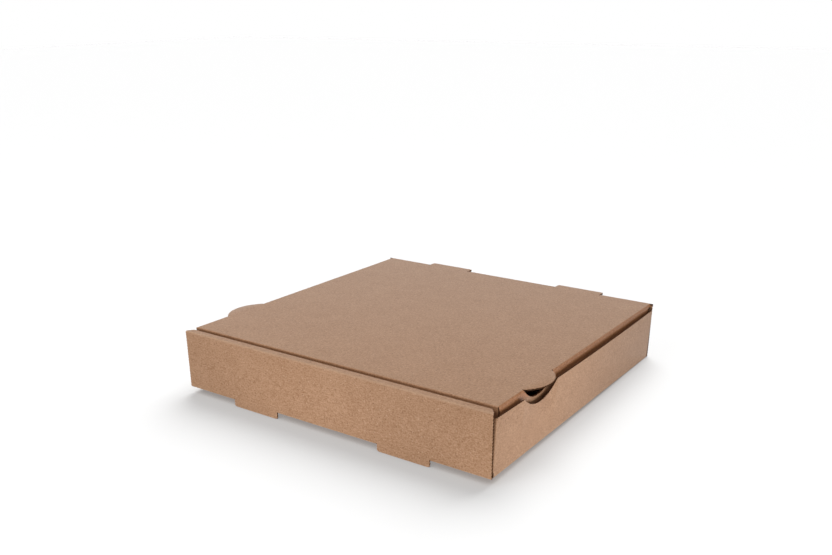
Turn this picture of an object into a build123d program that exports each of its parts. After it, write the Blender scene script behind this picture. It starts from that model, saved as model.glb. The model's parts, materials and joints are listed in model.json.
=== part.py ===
from build123d import *

import os
from math import cos, radians, sin, sqrt, tan

# Corrugated board
board = 1.6  # thickness of the sheet
crease = 0.2  # inside radius of a fold
kerf = 0.4  # clearance round a piece that was cut out of its neighbour
play = 0.4  # clearance between panels that lie against each other
lap = 0.5  # how far two panels are drawn into each other where the sheet is continuous

# Tray, measured on the outside at the floor
width = 305.0
depth = 302.0
front_height = 52.3
side_height = 47.5
back_height = 52.1
front_lean = 1.8  # degrees that each wall leans out
side_lean = 2.7
back_lean = 2.2
corner_lean = 0.2  # front corners of the side walls stand nearly upright
end_reach = 0.4  # raw ends of the front and back walls, out from the side folds
end_flare = 1.2  # degrees that these ends slant out towards the top

# Roll-over of the front wall
roll_depth = 7.2
inner_inset = 1.2  # inner panel's ends, in from the side walls

# Corner flaps at the ends of the side walls
flap_lift = 4.5  # lower edge above the floor's underside
flap_margin = 8.0  # free space between a flap's end and the cut-outs of the long folds

# Cut-outs of the long folds: feet at the front, tabs and vents at the back
cut_width = 49.0
cut_offset = 75.6  # middle of each cut-out from the middle of the box
cut_corner = 1.5
foot_drop = 5.7  # feet below the floor
tab_reach = 7.5  # tabs behind the back wall
lock_inset = 2.0  # lock tabs, narrower than their slots on each side

# Lid
lid_inset = 0.8  # side folds, in from the tray's width
lid_setback = 8.7  # front fold, behind the tray's front fold
front_flap = 44.0
side_flap = 40.0
front_flap_lean = 6.0  # degrees that the tucked flaps lean in
side_flap_lean = 1.5
flap_taper = 80.0  # angle at the ends of the side flaps
flap_corner = 12.0
corner_slit = 0.3  # round the ends of the front strip, at the side folds
side_flap_rear = 5.0  # side flaps' rear ends, in front of the hinge
hinge_gap = 0.3

# Thumb tabs of the lid and thumb notches of the side walls
thumb_radius = 31.0
thumb_reach = 10.8
thumb_setback = 70.8  # middle, behind the tray's front fold
notch_radius = 38.5
notch_depth = 10.3
notch_setback = 68.4

# Places that follow from the sizes above, with the origin under the middle of the whole box
bend = crease + board
floor_z = foot_drop
front_out = front_height * sin(radians(front_lean))
back_out = back_height * sin(radians(back_lean))
front_y = (front_out - depth - back_out - tab_reach) / 2
back_y = front_y + depth
thumb_y = front_y + thumb_setback
notch_y = front_y + notch_setback
side_top = floor_z + side_height

front_fold = (front_y, floor_z)
front_top = (front_y - front_out, floor_z + front_height * cos(radians(front_lean)))
roll_middle = (front_top[0] + roll_depth / 2, front_top[1])
roll_inner = (front_top[0] + roll_depth, front_top[1])
slot_rear = front_y + board + foot_drop
inner_foot = (slot_rear - kerf, floor_z + board + play)

back_fold = (back_y, floor_z)
back_top = (back_y + back_out, floor_z + back_height * cos(radians(back_lean)))
hinge_y = back_top[0] - board / 2 * cos(radians(back_lean))
hinge_z = back_top[1] + board / 2 * sin(radians(back_lean))
tab_length = tab_reach + board / 2

side_front = front_y + board + play
side_rear = back_y - board - play
side_middle = (side_front + side_rear) / 2
side_fold_front = front_y + bend + lap + play
side_fold_rear = back_y - bend - lap - play
half_lap = lap + side_height * tan(radians(max(corner_lean, back_lean)))
flap_z = floor_z + flap_lift
wall_x = width / 2 + flap_lift * tan(radians(side_lean))
wall_level = board / cos(radians(side_lean))
corner_flap = wall_x - cut_offset - cut_width / 2 - flap_margin
inner_half = width / 2 - board - inner_inset

lid_top = hinge_z + board / 2
lid_half = width / 2 - lid_inset
lid_front = front_y + lid_setback
lid_rear = hinge_y - board / 2 - hinge_gap
slit_front = lid_front + bend + lap
side_flap_front = slit_front + corner_slit
side_flap_length = hinge_y - side_flap_rear - side_flap_front
thumb_half = sqrt(2 * thumb_radius * thumb_reach - thumb_reach**2)


def panel_plane(low, high, facing):
    """Plane on the outside of a panel between two (y, z) points: local y runs up it, facing sets its side."""
    along = Vector(facing, 0, 0)
    up = Vector(0, high[0] - low[0], high[1] - low[1])
    return Plane(origin=(0, *low), x_dir=along, z_dir=along.cross(up))


def leaning(axis_lean):
    """Upward direction along a corner of the side walls, with the lean of the wall beside it."""
    return Vector(tan(radians(side_lean)), tan(radians(axis_lean)), 1)


def end_half(height):
    """Half the length of the front and back walls at a height."""
    return width / 2 + end_reach + (height - floor_z) * tan(radians(end_flare))


front_plane = panel_plane(front_fold, front_top, 1)
inner_plane = panel_plane(inner_foot, roll_inner, -1)
cut_places = [(-cut_offset, 0), (cut_offset, 0)]

# Tray: floor and walls of the sheet
with BuildPart() as tray:
    # Right side wall above the floor fold, each half with the corner flap at its end
    for wall_end, half_end, end_lean, inward in (
        (side_front, side_middle + half_lap, -corner_lean, Side.LEFT),
        (side_rear, side_middle - half_lap, back_lean, Side.RIGHT),
    ):
        with BuildSketch(Plane.XY.offset(flap_z)):
            with BuildLine():
                FilletPolyline(
                    (wall_x - corner_flap, wall_end),
                    (wall_x, wall_end),
                    (wall_x, half_end),
                    radius=bend,
                )
                offset(amount=wall_level, side=inward)
            make_face()
        corner_way = leaning(end_lean)
        extrude(amount=(side_top - flap_z) * corner_way.length, dir=corner_way)
    # Fold that joins the wall to the floor
    wall_low_x = wall_x + lap * tan(radians(side_lean))
    with BuildSketch(Plane.XZ.offset(-side_fold_rear)):
        with BuildLine():
            FilletPolyline(
                (width / 2 - bend - lap, floor_z),
                (width / 2, floor_z),
                (wall_low_x, flap_z + lap),
                radius=bend,
            )
            offset(amount=board, side=Side.LEFT)
        make_face()
    extrude(amount=side_fold_rear - side_fold_front)
    # Half-moon thumb notch in the wall's top edge
    with BuildSketch(Plane.YZ.offset(lid_half)):
        with Locations((notch_y, side_top + notch_radius - notch_depth)):
            Circle(notch_radius)
    extrude(amount=width / 2, mode=Mode.SUBTRACT)
    mirror(about=Plane.YZ)

    # Floor
    with BuildSketch(Plane.XY.offset(floor_z)):
        with Locations((0, (front_y + back_y) / 2)):
            Rectangle(width - 2 * bend, depth - 2 * bend)
    extrude(amount=board)

    # Front wall with the flat top of its roll-over, and back wall ending in the round bead of the lid's fold
    with BuildPart(mode=Mode.PRIVATE) as long_walls:
        with BuildSketch(Plane.YZ):
            with BuildLine():
                FilletPolyline(
                    roll_middle,
                    front_top,
                    front_fold,
                    (front_y + bend + lap, floor_z),
                    radius=bend,
                )
                offset(amount=board, side=Side.LEFT)
            make_face()
            with BuildLine():
                FilletPolyline((back_y - bend - lap, floor_z), back_fold, back_top, radius=bend)
                offset(amount=board, side=Side.LEFT)
            make_face()
            with Locations((hinge_y, hinge_z)):
                Circle(board / 2)
        extrude(amount=width, both=True)
        # Raw ends that slant out towards the top
        ends_low = floor_z - lap
        ends_high = max(front_top[1], lid_top) + lap
        with BuildSketch(Plane.XZ):
            with BuildLine():
                Polyline(
                    (end_half(ends_low), ends_low),
                    (end_half(ends_high), ends_high),
                    (-end_half(ends_high), ends_high),
                    (-end_half(ends_low), ends_low),
                    close=True,
                )
            make_face()
        extrude(amount=depth, both=True, mode=Mode.INTERSECT)
        # Slanted ends of the roll-over, down to the width of its inner panel
        with BuildSketch(Plane.XY.offset(front_top[1] - bend)):
            with BuildLine():
                Polyline(
                    (inner_half, roll_middle[0]),
                    (end_half(ends_high), front_top[0] + bend),
                    (end_half(ends_high), roll_inner[0]),
                    (inner_half, roll_inner[0]),
                    close=True,
                )
            make_face()
            mirror(about=Plane.YZ)
        extrude(amount=2 * bend, mode=Mode.SUBTRACT)
    add(long_walls)

    # Inner panel of the roll-over, between the side walls
    with BuildSketch(Plane.YZ):
        with BuildLine():
            FilletPolyline(inner_foot, roll_inner, roll_middle, radius=bend)
            offset(amount=board, side=Side.LEFT)
        make_face()
    extrude(amount=inner_half, both=True)

    # Slots in the floor that the feet were cut from
    slot_front = front_y - lap
    with BuildSketch():
        with Locations((0, slot_front)):
            with Locations(*cut_places):
                Rectangle(cut_width, slot_rear - slot_front, align=(Align.CENTER, Align.MIN))
    extrude(amount=floor_z + bend, mode=Mode.SUBTRACT)

    # Feet, in the plane of the front wall
    foot_length = foot_drop / cos(radians(front_lean))
    with BuildSketch(front_plane) as foot_outline:
        with Locations((0, -foot_length)):
            with Locations(*cut_places):
                Rectangle(cut_width, foot_length + bend + lap, align=(Align.CENTER, Align.MIN))
        fillet(foot_outline.vertices().group_by(Axis.Y)[0], cut_corner)
    extrude(amount=-board)

    # Lock tabs of the inner panel, standing in the slots
    lock_drop = board + play
    with BuildSketch(inner_plane):
        with Locations((0, -lock_drop)):
            with Locations(*cut_places):
                Rectangle(cut_width - 2 * lock_inset, lock_drop + lap, align=(Align.CENTER, Align.MIN))
    extrude(amount=-board)

    # Vents in the back wall that the lid's rear tabs were cut from
    with BuildSketch(Plane.XZ.offset(-hinge_y)) as vent_outline:
        with Locations((0, hinge_z + board)):
            with Locations(*cut_places):
                Rectangle(
                    cut_width + 2 * kerf,
                    board + tab_length + kerf,
                    align=(Align.CENTER, Align.MAX),
                )
        fillet(vent_outline.vertices().group_by(Axis.Y)[0], cut_corner)
    extrude(amount=2 * board, both=True, mode=Mode.SUBTRACT)

tray.part.label = "tray"

# Lid: top panel, tucked flaps, thumb tabs and rear tabs
with BuildPart() as lid:
    # Top panel and side flaps, folded from one strip
    flap_x = lid_half - side_flap * tan(radians(side_flap_lean))
    with BuildSketch(Plane.XZ.offset(-lid_rear)):
        with BuildLine():
            FilletPolyline(
                (-flap_x, lid_top - side_flap),
                (-lid_half, lid_top),
                (lid_half, lid_top),
                (flap_x, lid_top - side_flap),
                radius=bend,
            )
            offset(amount=board, side=Side.RIGHT)
        make_face()
    extrude(amount=lid_rear - side_flap_front)
    # Outline of the side flaps, tapered towards their free edges below the fold
    with BuildSketch(Plane.YZ) as side_outline:
        with Locations((side_flap_front + side_flap_length / 2, lid_top - bend)):
            Trapezoid(
                side_flap_length,
                side_flap - bend,
                flap_taper,
                rotation=180,
                align=(Align.CENTER, Align.MIN),
            )
        fillet(side_outline.vertices().group_by(Axis.Y)[0], flap_corner)
        with Locations((side_flap_front, lid_top + lap)):
            Rectangle(lid_rear - side_flap_front, bend + 2 * lap, align=(Align.MIN, Align.MAX))
    extrude(amount=lid_half + lap, both=True, mode=Mode.INTERSECT)

    # Openings in the side flaps that the thumb tabs were cut from
    root_x = lid_half - bend - lap
    for side in (1, -1):
        with BuildSketch(Plane.YZ.offset(side * root_x)):
            with Locations((thumb_y, lid_top + thumb_radius - thumb_reach)):
                Circle(thumb_radius + kerf)
            with Locations((thumb_y, lid_top - board)):
                Rectangle(2 * (thumb_half + kerf), board + lap, align=(Align.CENTER, Align.MIN))
        extrude(amount=side * 2 * bend, mode=Mode.SUBTRACT)

    # Thumb tabs, in the plane of the lid
    with BuildSketch(Plane.XY.offset(lid_top)):
        with BuildLine():
            Polyline(
                (lid_half, thumb_y + thumb_half),
                (root_x, thumb_y + thumb_half),
                (root_x, thumb_y - thumb_half),
                (lid_half, thumb_y - thumb_half),
            )
            SagittaArc((lid_half, thumb_y - thumb_half), (lid_half, thumb_y + thumb_half), -thumb_reach)
        make_face()
        mirror(about=Plane.YZ)
    extrude(amount=-board)

    # Front edge of the top panel with the front flap, leaning back to clear the roll-over as the lid swings
    front_flap_half = lid_half - corner_slit
    flap_y = lid_front + front_flap * sin(radians(front_flap_lean))
    flap_low = lid_top - front_flap * cos(radians(front_flap_lean))
    with BuildPart(mode=Mode.PRIVATE) as front_edge:
        with BuildSketch(Plane.YZ):
            with BuildLine():
                FilletPolyline(
                    (flap_y, flap_low),
                    (lid_front, lid_top),
                    (side_flap_front + lap, lid_top),
                    radius=bend,
                )
                offset(amount=board, side=Side.RIGHT)
            make_face()
        extrude(amount=front_flap_half, both=True)
        with BuildSketch(Plane.XZ) as front_outline:
            with Locations((0, lid_top + lap)):
                Rectangle(2 * front_flap_half, lid_top + lap - flap_low, align=(Align.CENTER, Align.MAX))
            fillet(front_outline.vertices().group_by(Axis.Y)[0], flap_corner)
        extrude(amount=depth, both=True, mode=Mode.INTERSECT)
        # Slits that part the front strip from the side folds
        with BuildSketch(Plane.XY.offset(lid_top + lap)):
            with Locations((root_x, slit_front)):
                Rectangle(2 * bend, bend, align=(Align.MIN, Align.MIN))
            mirror(about=Plane.YZ)
        extrude(amount=-(bend + lap), mode=Mode.SUBTRACT)
    add(front_edge)

    # Rear tabs, in the plane of the lid, that stand out behind the fold
    tab_root = lid_rear - lap
    with BuildSketch(Plane.XY.offset(lid_top)) as tab_outline:
        with Locations((0, tab_root)):
            with Locations(*cut_places):
                Rectangle(cut_width, hinge_y + tab_length - tab_root, align=(Align.CENTER, Align.MIN))
        fillet(tab_outline.vertices().group_by(Axis.Y)[-1], cut_corner)
    extrude(amount=-board)

lid.part.label = "lid"

os.makedirs("parts", exist_ok=True)
export_step(tray.part, "parts/tray.step")
export_step(lid.part, "parts/lid.step")
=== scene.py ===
"""Pizza box of corrugated kraft board, folded from liners and fluting round its packed CAD frame."""

import json
import math
from types import SimpleNamespace

import bmesh
import bpy
import numpy as np
from bpy.props import FloatProperty, FloatVectorProperty, IntProperty, PointerProperty
from mathutils import Matrix, Vector


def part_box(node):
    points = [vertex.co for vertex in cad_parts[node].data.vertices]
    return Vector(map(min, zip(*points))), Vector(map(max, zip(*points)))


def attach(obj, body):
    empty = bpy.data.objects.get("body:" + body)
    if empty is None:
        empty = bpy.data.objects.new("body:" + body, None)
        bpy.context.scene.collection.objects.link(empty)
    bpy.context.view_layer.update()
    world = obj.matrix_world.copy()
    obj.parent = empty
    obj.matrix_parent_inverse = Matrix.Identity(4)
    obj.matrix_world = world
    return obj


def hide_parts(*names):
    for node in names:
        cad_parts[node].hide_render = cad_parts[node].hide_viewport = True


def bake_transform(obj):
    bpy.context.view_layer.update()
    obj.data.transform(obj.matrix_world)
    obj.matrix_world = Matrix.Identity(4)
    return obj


bl_info = {
    "name": "Pizza Box",
    "version": (1, 0, 0),
    "blender": (4, 5, 0),
    "location": "View3D > Sidebar > Pizza Box",
    "description": "Folds a pizza box from corrugated board round its CAD frame",
    "category": "Object",
}

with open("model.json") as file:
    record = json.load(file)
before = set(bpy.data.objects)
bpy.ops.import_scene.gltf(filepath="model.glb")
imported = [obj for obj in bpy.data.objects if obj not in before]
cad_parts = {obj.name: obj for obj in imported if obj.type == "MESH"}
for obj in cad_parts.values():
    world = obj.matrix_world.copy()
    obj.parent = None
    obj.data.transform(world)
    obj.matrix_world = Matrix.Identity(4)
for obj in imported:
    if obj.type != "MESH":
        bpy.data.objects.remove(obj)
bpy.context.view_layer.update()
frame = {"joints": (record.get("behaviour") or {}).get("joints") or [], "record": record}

# Lengths below this count as none.
TINY = 1e-7
# Edges that turn by more than this stay sharp.
SHARP_ANGLE = math.radians(38)
# Places round a rounded corner, as shares of its radius.
CORNER_STEPS = np.array((0.02, 0.08, 0.2, 0.5, 1.0))
# Places in from the ends of a thumb opening, where its outline curves most.
OPENING_STEPS = np.array((0.1, 0.4, 0.8, 1.2, 1.8, 2.6)) / 1000
# Places down a side flap, in heights of the gap above the side walls.
FLAP_STEPS = np.array((0.3, 0.7, 2.0, 4.0))
# Patterns in the paper, in waves or cells per metre.
CLOUDS, FELT, CORE_FELT = 60, 800, 1400
FIBRE_LENGTH, FIBRE_WIDTH = 300, 1300
BARK, BLEACHED = 380, 340
CORE_ROUGHNESS = 0.9
# Middles and radii of the parts of the floor that send up further light.
FRONT_GLOW = ((-0.01, -0.26, 0), 0.155)
RIGHT_GLOW = ((0.32, -0.1, 0), 0.25)
# Share of the floor's surroundings that is open where the painted contact shadow ends.
CONTACT_END = 0.6
# Heights between which the sky brightens, from 0 at the horizon to 1 overhead.
SKY_EDGE = (0.7, 0.95)
FRONT_LAMP_PLACE = Vector((-0.3, -1.2, 1.1))
FRONT_LAMP_AIM = Vector((0.0, -0.05, 0.05))
FRONT_LAMP_SIZE = 0.7


def length(name, description, millimetres):
    """A size in metres whose default is written in millimetres."""
    return FloatProperty(
        name=name,
        description=description,
        default=millimetres / 1000,
        precision=5,
        unit="LENGTH",
    )


def angle(name, description, degrees):
    """An angle in radians whose default is written in degrees."""
    return FloatProperty(
        name=name,
        description=description,
        default=math.radians(degrees),
        subtype="ANGLE",
    )


def share(name, description, value):
    """A number without a unit."""
    return FloatProperty(name=name, description=description, default=value, precision=3)


def colour(name, description, value):
    """A linear colour without alpha."""
    return FloatVectorProperty(
        name=name, description=description, default=value, size=3, min=0, max=1, subtype="COLOR"
    )


class PIZZABOX_PG_board(bpy.types.PropertyGroup):
    """Corrugated board that the box is folded from"""

    thickness: length("Thickness", "Thickness of the whole board", 1.6)
    liner: length("Liner", "Thickness of each flat outer sheet", 0.22)
    fluting: length("Fluting", "Thickness of the wavy sheet between the liners", 0.18)
    pitch: length("Flute pitch", "Distance from one flute to the next", 2.6)
    fold_radius: length("Fold radius", "Outside radius of a fold", 1.0)
    crease: length("Crease", "Thickness of the board where it was creased for a fold", 0.88)
    crease_reach: length("Crease reach", "How far the board is pressed beside a fold", 1.6)
    sag: length("Liner sag", "How far a liner sinks in between two flutes", 0.014)
    cut_wave: length("Cut wave", "How far a cut liner edge draws back between two flutes", 0.5)
    cut_back: length("Fluting set back", "How far the fluting lies behind a cut edge", 0.12)
    press_width: length("Pressed width", "Width of the rim that the cutting blade pressed", 1.2)
    pressed: share("Pressed thickness", "Share of the thickness that a pressed rim keeps", 0.66)
    fold_steps: IntProperty(name="Fold steps", description="Faces round one fold", default=6)


class PIZZABOX_PG_tray(bpy.types.PropertyGroup):
    """Tray of the box"""

    depth: length("Depth", "Outside depth at the floor", 302.0)
    front_height: length("Front height", "Length of the front wall from fold to fold", 52.3)
    side_height: length("Side height", "Height of the side walls above the floor's underside", 47.5)
    front_lean: angle("Front lean", "How far the front wall leans out", 1.77)
    side_lean: angle("Side lean", "How far the side walls lean out", 2.7)
    back_lean: angle("Back lean", "How far the back wall leans out", 2.2)
    corner_lean: angle("Corner lean", "How far the front corners of the side walls lean forward", 0.2)
    side_bow: length("Side bow", "How far the top edges of the side walls bow out in the middle", 2.0)
    end_reach: length("End reach", "Raw ends of the front and back walls, out from the side folds", 0.4)
    end_flare: angle("End flare", "How far these ends slant out towards the top", 1.2)
    roll_depth: length("Roll-over depth", "Flat top of the front wall", 7.2)
    inner_inset: length("Inner inset", "Ends of the inner front panel, in from the side walls", 1.2)
    flap_lift: length("Flap lift", "Lower edge of the corner flaps above the floor", 4.5)
    flap_margin: length("Flap margin", "Space between a corner flap's end and the cut-outs", 8.0)
    lock_inset: length("Lock inset", "Lock tabs, narrower than their slots on each side", 2.0)
    play: length("Play", "Clearance between panels that lie against each other", 0.4)
    kerf: length("Kerf", "Clearance round a piece cut out of its neighbour", 0.4)
    fold_inset: length("Fold inset", "Ends of the side folds, in from the side walls' ends", 0.7)
    notch_radius: length("Notch radius", "Radius of the thumb notches in the side walls", 38.5)
    notch_depth: length("Notch depth", "Depth of the thumb notches", 10.3)
    notch_setback: length("Notch setback", "Middle of a thumb notch behind the front fold", 68.4)


class PIZZABOX_PG_cuts(bpy.types.PropertyGroup):
    """Cut-outs of the long folds: feet, rear tabs and vents"""

    width: length("Width", "Width of a foot or rear tab", 49.0)
    offset: length("Offset", "Middle of each cut-out from the middle of the box", 75.6)
    corner: length("Corner radius", "Rounded corners of the cut-outs", 1.5)


class PIZZABOX_PG_lid(bpy.types.PropertyGroup):
    """Lid of the box"""

    inset: length("Inset", "Side folds, in from the width of the tray", 0.8)
    setback: length("Setback", "Front fold, behind the front fold of the tray", 8.7)
    front_flap_lean: angle("Front flap lean", "How far the front flap leans in", 6.0)
    side_flap_lean: angle("Side flap lean", "How far the side flaps lean in", 4.5)
    front_flap: length("Front flap", "Length of the front flap", 44.0)
    side_flap: length("Side flap", "Length of the side flaps", 40.0)
    side_crease: angle("Side crease", "First turn of the side folds, which cross the flutes", 63.0)
    side_fold_run: length("Side fold run", "Faces between the three turns of a side fold", 1.25)
    flap_push: share("Flap push", "Share of the side walls' bow that the side flaps follow", 0.25)
    flap_taper: angle("Flap taper", "Slant at the ends of the side flaps", 10.0)
    flap_corner: length("Flap corner", "Rounded corners of the flaps", 12.0)
    corner_slit: length("Corner slit", "Slits round the ends of the front strip", 0.15)
    flap_relief: length("Flap relief", "Side flaps, back from the front flap below the fold", 0.6)
    strip_reach: length("Strip reach", "Front strip behind its fold, up to the slits", 0.8)
    side_flap_rear: length("Side flap rear", "Rear ends of the side flaps in front of the hinge", 5.0)
    rear_gap: length("Rear gap", "End of the lid's side folds in front of the hinge", 0.5)
    fold_reach: length("Fold reach", "How far the bending strip reaches to each side of the hinge", 2.4)
    thumb_radius: length("Thumb radius", "Radius of the thumb tabs", 31.0)
    opening_play: length("Opening play", "Room round a thumb tab in the opening it was cut from", 1.0)
    thumb_setback: length("Thumb setback", "Middle of a thumb tab behind the tray's front fold", 70.8)


class PIZZABOX_PG_kraft(bpy.types.PropertyGroup):
    """Colours of the kraft paper"""

    liner: colour("Liner", "Main colour of the liners", (0.545, 0.33, 0.205))
    liner_dark: colour("Liner dark", "Darker fibres of the liners", (0.274, 0.134, 0.062))
    fleck_dark: colour("Dark flecks", "Bark flecks in the liners", (0.14, 0.065, 0.03))
    # Bleached fibres, and also the colour that the painted highlight on the front wall's top fold moves
    # towards.
    pale_fleck_and_highlight: colour("Light flecks", "Bleached fibres in the liners", (0.62, 0.43, 0.3))
    core: colour("Core", "Fluting and raw cut edges", (0.145, 0.066, 0.03))
    roughness: share("Roughness", "Roughness of the paper", 0.3)
    gloss: share("Gloss", "Specular level of the paper", 0.1)
    # Painted shade: a darker, redder tint on the lid's folds, standing in for the shade in the gaps
    # between the lid's flaps and the tray's walls.
    creased: colour("Creased fold", "Tint of the paper on the lid's creased folds", (0.9, 0.72, 0.58))
    # Painted highlight: the front wall's top fold is made paler, standing in for light on the rounded
    # fold.
    worn: share("Worn fold", "How pale the front wall's top fold has been rubbed", 0.42)
    fold_highlight_reach: length("Worn reach", "How far that paler line reaches from the fold", 1.9)


class PIZZABOX_PG_stage(bpy.types.PropertyGroup):
    """Camera, light and floor"""

    camera_place: FloatVectorProperty(
        name="Camera place",
        description="Where the camera stands",
        default=(0.443835, -0.678689, 0.324038),
        precision=5,
        subtype="TRANSLATION",
        unit="LENGTH",
    )
    azimuth: angle("Azimuth", "How far the camera stands round to the right", 34.226)
    elevation: angle("Elevation", "How far the camera looks down", 15.806)
    roll: angle("Roll", "How far the camera is turned about its own line of sight", 0.157)
    lens: FloatProperty(
        name="Lens", description="Focal length", default=40.333, unit="CAMERA", precision=3
    )
    sky_low: share("Sky low", "Light from the horizon", 0.25)
    sky_high: share("Sky high", "Light from overhead", 1.7)
    glow: share("Glow", "Light that the bright floor sends up on all sides", 1.1)
    glow_reach: length("Glow reach", "How far that light reaches from the middle", 2000.0)
    front_lamp: FloatProperty(
        name="Front lamp", description="Power of the soft lamp in front", default=6.5, unit="POWER"
    )
    front_glow: share("Front glow", "Further light from the floor in front", 0.95)
    right_glow: share("Right glow", "Further light from the floor on the right", 1.95)
    floor_shade: share("Floor", "How much of the floor's look follows its light", 0.25)
    floor_fill: share("Floor fill", "Even part of the floor's look", 0.36)
    # Painted shadow: the floor's look is darkened by ambient occlusion where the box stands close to it.
    contact: length("Contact", "Reach of the dark line where the box meets the floor", 10.0)
    contact_left: share("Contact left", "Share of the floor's look that is left in that line", 0.3)
    lamp_strength: share("Lamp", "Strength of the lamp behind that lights the floor alone", 7.4)
    lamp_height: angle("Lamp height", "How high that lamp stands", 52.0)
    lamp_turn: angle("Lamp turn", "How far round to the left that lamp stands", 15.0)
    lamp_spread: angle("Lamp spread", "How wide that lamp is, which softens the shadow", 56.0)
    floor_size: length("Floor size", "Side of the floor", 12000.0)


GROUPS = {
    "pizza_board": PIZZABOX_PG_board,
    "pizza_tray": PIZZABOX_PG_tray,
    "pizza_cuts": PIZZABOX_PG_cuts,
    "pizza_lid": PIZZABOX_PG_lid,
    "pizza_kraft": PIZZABOX_PG_kraft,
    "pizza_stage": PIZZABOX_PG_stage,
}


def box_places(scene):
    """Places that follow from the frame and from the sizes of board, tray, cut-outs and lid."""
    board = scene.pizza_board
    tray = scene.pizza_tray
    cuts = scene.pizza_cuts
    lid = scene.pizza_lid
    at = SimpleNamespace(board=board, tray=tray, cuts=cuts, lid=lid)
    mounts = {mount["name"]: mount["pos_m"] for mount in frame["record"]["mounts"]}
    tray_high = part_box("tray")[1]
    lid_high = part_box("lid")[1]
    at.bend = board.fold_radius
    at.floor_z = mounts["underside"][2]
    at.lid_top = mounts["lid_top"][2]
    at.hinge = np.array(frame["joints"][0]["pos_m"])

    half_board = board.thickness / 2
    at.back_way = np.array((math.sin(tray.back_lean), math.cos(tray.back_lean)))
    at.back_top = at.hinge[1:] + half_board * np.array((at.back_way[1], -at.back_way[0]))
    rise = at.back_top[1] - at.floor_z
    at.back_fold = np.array((at.back_top[0] - rise * math.tan(tray.back_lean), at.floor_z))

    front_way = np.array((-math.sin(tray.front_lean), math.cos(tray.front_lean)))
    at.front_fold = at.back_fold - (tray.depth, 0)
    at.front_top = at.front_fold + tray.front_height * front_way
    at.roll_inner = at.front_top + (tray.roll_depth, 0)
    at.slot_rear = at.front_fold[0] + board.thickness + at.floor_z
    at.inner_foot = np.array((at.slot_rear - tray.kerf, at.floor_z + board.thickness + tray.play))

    at.half_width = tray_high.x - tray.side_height * math.tan(tray.side_lean)
    at.side_top = at.floor_z + tray.side_height
    at.side_front = at.front_fold[0] + board.thickness + tray.play
    at.side_rear = at.back_fold[0] - board.thickness - tray.play
    at.flap_z = at.floor_z + tray.flap_lift

    at.lid_front = at.front_fold[0] + lid.setback
    at.tab_end = lid_high.y
    at.tab_length = at.tab_end - at.hinge[1]
    at.lid_half = at.half_width - lid.inset
    at.lid_edge = at.lid_half - at.bend
    at.lid_rear = at.hinge[1] - lid.rear_gap
    at.slit_front = at.lid_front + lid.strip_reach
    at.side_flap_front = at.slit_front + lid.corner_slit
    at.thumb_y = at.front_fold[0] + lid.thumb_setback
    at.thumb_reach = lid_high.x - at.lid_half
    at.notch_y = at.front_fold[0] + tray.notch_setback
    at.cut_inner = cuts.offset - cuts.width / 2
    at.cut_outer = cuts.offset + cuts.width / 2
    return at


def wall_end(at, height):
    """Half the length of the front and back walls at a height."""
    return at.half_width + at.tray.end_reach + (height - at.floor_z) * math.tan(at.tray.end_flare)


def side_bow(at, y, z):
    """How far a side wall bows out, most in the middle of its top edge."""
    along = np.clip((y - at.side_front) / (at.side_rear - at.side_front), 0, 1)
    height = np.clip((z - at.floor_z) / at.tray.side_height, 0, 1)
    return at.tray.side_bow * np.sin(np.pi * along) * height**1.5


def eased(part):
    """A part from 0 to 1, eased at both ends."""
    return part * part * (3 - 2 * part)


class FoldLine:
    """Outside line of a folded strip in one plane: straight runs joined by round folds.

    The folds turn left and the outside lies on the right, as on a sheet that is rolled up one way.
    """

    def __init__(self, corners, radius):
        corners = [np.array(corner, float) for corner in corners]
        ways = [(b - a) / np.linalg.norm(b - a) for a, b in zip(corners, corners[1:])]
        self.radius = radius
        self.pieces = []
        self.folds = []
        self.length = 0.0
        point = corners[0]
        for index, way in enumerate(ways):
            outward = np.array((way[1], -way[0]))
            turn = 0.0
            if index + 1 < len(ways):
                after = ways[index + 1]
                turn = math.atan2(way[0] * after[1] - way[1] * after[0], way @ after)
            trim = radius * math.tan(turn / 2)
            run_end = corners[index + 1] - way * trim
            run = SimpleNamespace(start=self.length, point=point, way=way, outward=outward, turn=0.0)
            self.pieces.append(run)
            self.length += float(np.linalg.norm(run_end - point))
            if turn:
                centre = run_end - outward * radius
                heading = math.atan2(outward[1], outward[0])
                fold = SimpleNamespace(start=self.length, centre=centre, heading=heading, turn=turn)
                self.pieces.append(fold)
                self.folds.append((self.length, self.length + radius * turn))
                self.length += radius * turn
                point = corners[index + 1] + after * trim

    def at(self, along):
        """Points on the line, and the outward directions there, at the given lengths along it."""
        along = np.asarray(along, float)
        points = np.empty(along.shape + (2,))
        outward = np.empty(along.shape + (2,))
        starts = [piece.start for piece in self.pieces]
        which = np.clip(np.searchsorted(starts, along, side="right") - 1, 0, len(starts) - 1)
        for index, piece in enumerate(self.pieces):
            here = which == index
            reach = along[here] - piece.start
            if piece.turn:
                headings = piece.heading + reach / self.radius
                outward[here] = np.stack((np.cos(headings), np.sin(headings)), -1)
                points[here] = piece.centre + self.radius * outward[here]
            else:
                outward[here] = piece.outward
                points[here] = piece.point + reach[:, None] * piece.way
        return points, outward

    def crush(self, along, board):
        """Share of the board's thickness that is left at the given lengths, least at the creased folds."""
        along = np.asarray(along, float)
        left = np.ones(along.shape)
        for start, end in self.folds:
            away = np.maximum(start - along, along - end).clip(0, board.crease_reach)
            full = eased(away / board.crease_reach)
            here = board.crease + (board.thickness - board.crease) * full
            left = np.minimum(left, here / board.thickness)
        return left

    def fold_marks(self, steps):
        """Lengths at which the folds are divided into faces."""
        return [mark for start, end in self.folds for mark in np.linspace(start, end, steps + 1)]


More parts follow.
